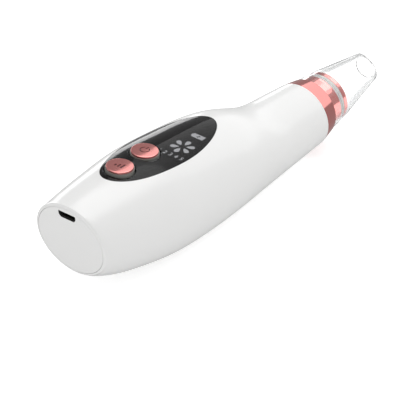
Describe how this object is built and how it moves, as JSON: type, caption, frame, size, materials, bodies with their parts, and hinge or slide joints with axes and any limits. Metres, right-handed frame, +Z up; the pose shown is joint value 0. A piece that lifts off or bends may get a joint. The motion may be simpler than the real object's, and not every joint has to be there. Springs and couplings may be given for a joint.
{
  "type": "blackhead vacuum extractor",
  "caption": "Handheld battery vacuum extractor with a curved barrel, an oval display with two round push buttons and a clear conical suction head.",
  "frame": {"origin": "under the middle of the whole length and width, on the surface that the barrel lies on", "axes": "+X from the end cap to the suction mouth, +Z up through the display, +Y to the left of the nose"},
  "size_m": [0.188, 0.0446, 0.0459],
  "materials": {
    "white_shell": "glossy white ABS",
    "rose_gold": "electroplated rose gold",
    "clear_head": "clear polycarbonate",
    "smoked_window": "smoked glossy acrylic",
    "black_plastic": "matte black",
    "grey_sleeve": "grey ABS",
    "white_silicone": "soft white silicone",
    "hose_silicone": "milky silicone",
    "black_rubber": "black rubber",
    "foam_tape": "foam adhesive",
    "filter_foam": "open-cell foam",
    "light_guide": "translucent white",
    "circuit_green": "solder mask",
    "chip_black": "moulded epoxy",
    "ceramic_tan": "ceramic",
    "led_white": "phosphor and epoxy",
    "steel": "plain steel",
    "nickel": "nickel plated",
    "bronze": "sintered bronze",
    "copper": "enamelled copper",
    "ferrite": "ferrite",
    "cell_sleeve": "shrink sleeve over the cell",
    "red_wire": "red insulation",
    "black_wire": "black insulation",
    "nylon": "natural nylon",
    "chassis_plastic": "grey ABS",
    "graphite": "carbon brush"
  },
  "bodies": {
    "handle": {"body_shell": "white_shell", "end_cap": "white_shell", "display_window": "smoked_window", "window_adhesive": "foam_tape", "display_tray": "black_plastic", "display_mask": "black_plastic", "light_guide_petals": "light_guide", "light_guide_battery": "light_guide", "light_guide_levels": "light_guide", "mode_switch": "nickel", "power_switch": "nickel", "main_board": "circuit_green", "board_screws": "steel", "control_chip": "chip_black", "charger_chip": "chip_black", "small_components": "ceramic_tan", "indicator_leds": "led_white", "usb_shell": "nickel", "usb_tongue": "chip_black", "chassis": "chassis_plastic", "chassis_screws": "steel", "battery_cell": "cell_sleeve", "battery_tabs": "nickel", "battery_socket": "nylon", "battery_lead_red": "red_wire", "battery_lead_black": "black_wire", "motor_can": "steel", "motor_end_bell": "black_plastic", "motor_bush_rear": "bronze", "motor_bush_front": "bronze", "motor_magnets": "ferrite", "motor_brushes": "graphite", "motor_lead_red": "red_wire", "motor_lead_black": "black_wire", "pump_housing": "black_plastic", "pump_diaphragm": "black_rubber", "valve_plate": "nylon", "pump_cover": "black_plastic", "pump_screws": "steel", "pump_damper": "black_rubber", "suction_hose": "hose_silicone", "nozzle_collar": "rose_gold", "nozzle_seal": "white_silicone", "filter_sponge": "filter_foam", "filter_retainer": "nylon"},
    "power_button": {"power_button_cap": "rose_gold", "power_button_sleeve": "grey_sleeve", "power_switch_plunger": "chip_black"},
    "mode_button": {"mode_button_cap": "rose_gold", "mode_button_sleeve": "grey_sleeve", "mode_switch_plunger": "chip_black"},
    "suction_head": {"suction_tip": "clear_head"},
    "rotor": {"rotor_shaft": "steel", "rotor_core": "steel", "rotor_windings": "copper", "rotor_commutator": "copper", "drive_wheel": "nylon", "crank_pin": "steel"},
    "wobbler": {"wobble_plate": "nylon"}
  },
  "joints": [
    {"name": "power_press", "type": "slide", "parent": "handle", "child": "power_button", "axis": [0, 0, -1], "range_m": [0, 0.0005], "stiffness_N_per_m": 400, "springref_m": -0.0004},
    {"name": "mode_press", "type": "slide", "parent": "handle", "child": "mode_button", "axis": [0, 0, -1], "range_m": [0, 0.0005], "stiffness_N_per_m": 400, "springref_m": -0.0004},
    {"name": "tip_pull", "type": "slide", "parent": "handle", "child": "suction_head", "axis": [0.9969, 0, 0.0785], "range_m": [0, 0.025]},
    {"name": "rotor_spin", "type": "hinge", "parent": "handle", "child": "rotor", "pos_m": [-0.01452, 0, 0.01785], "axis": [1, 0, 0], "continuous": true},
    {"name": "wobble", "type": "hinge", "parent": "rotor", "child": "wobbler", "pos_m": [0.00648, 0, 0.01785], "axis": [0.9945, 0, 0.1045], "continuous": true}
  ],
  "couplings": [
    {"joint": "wobble", "follows": "rotor_spin", "ratio": -1}
  ]
}
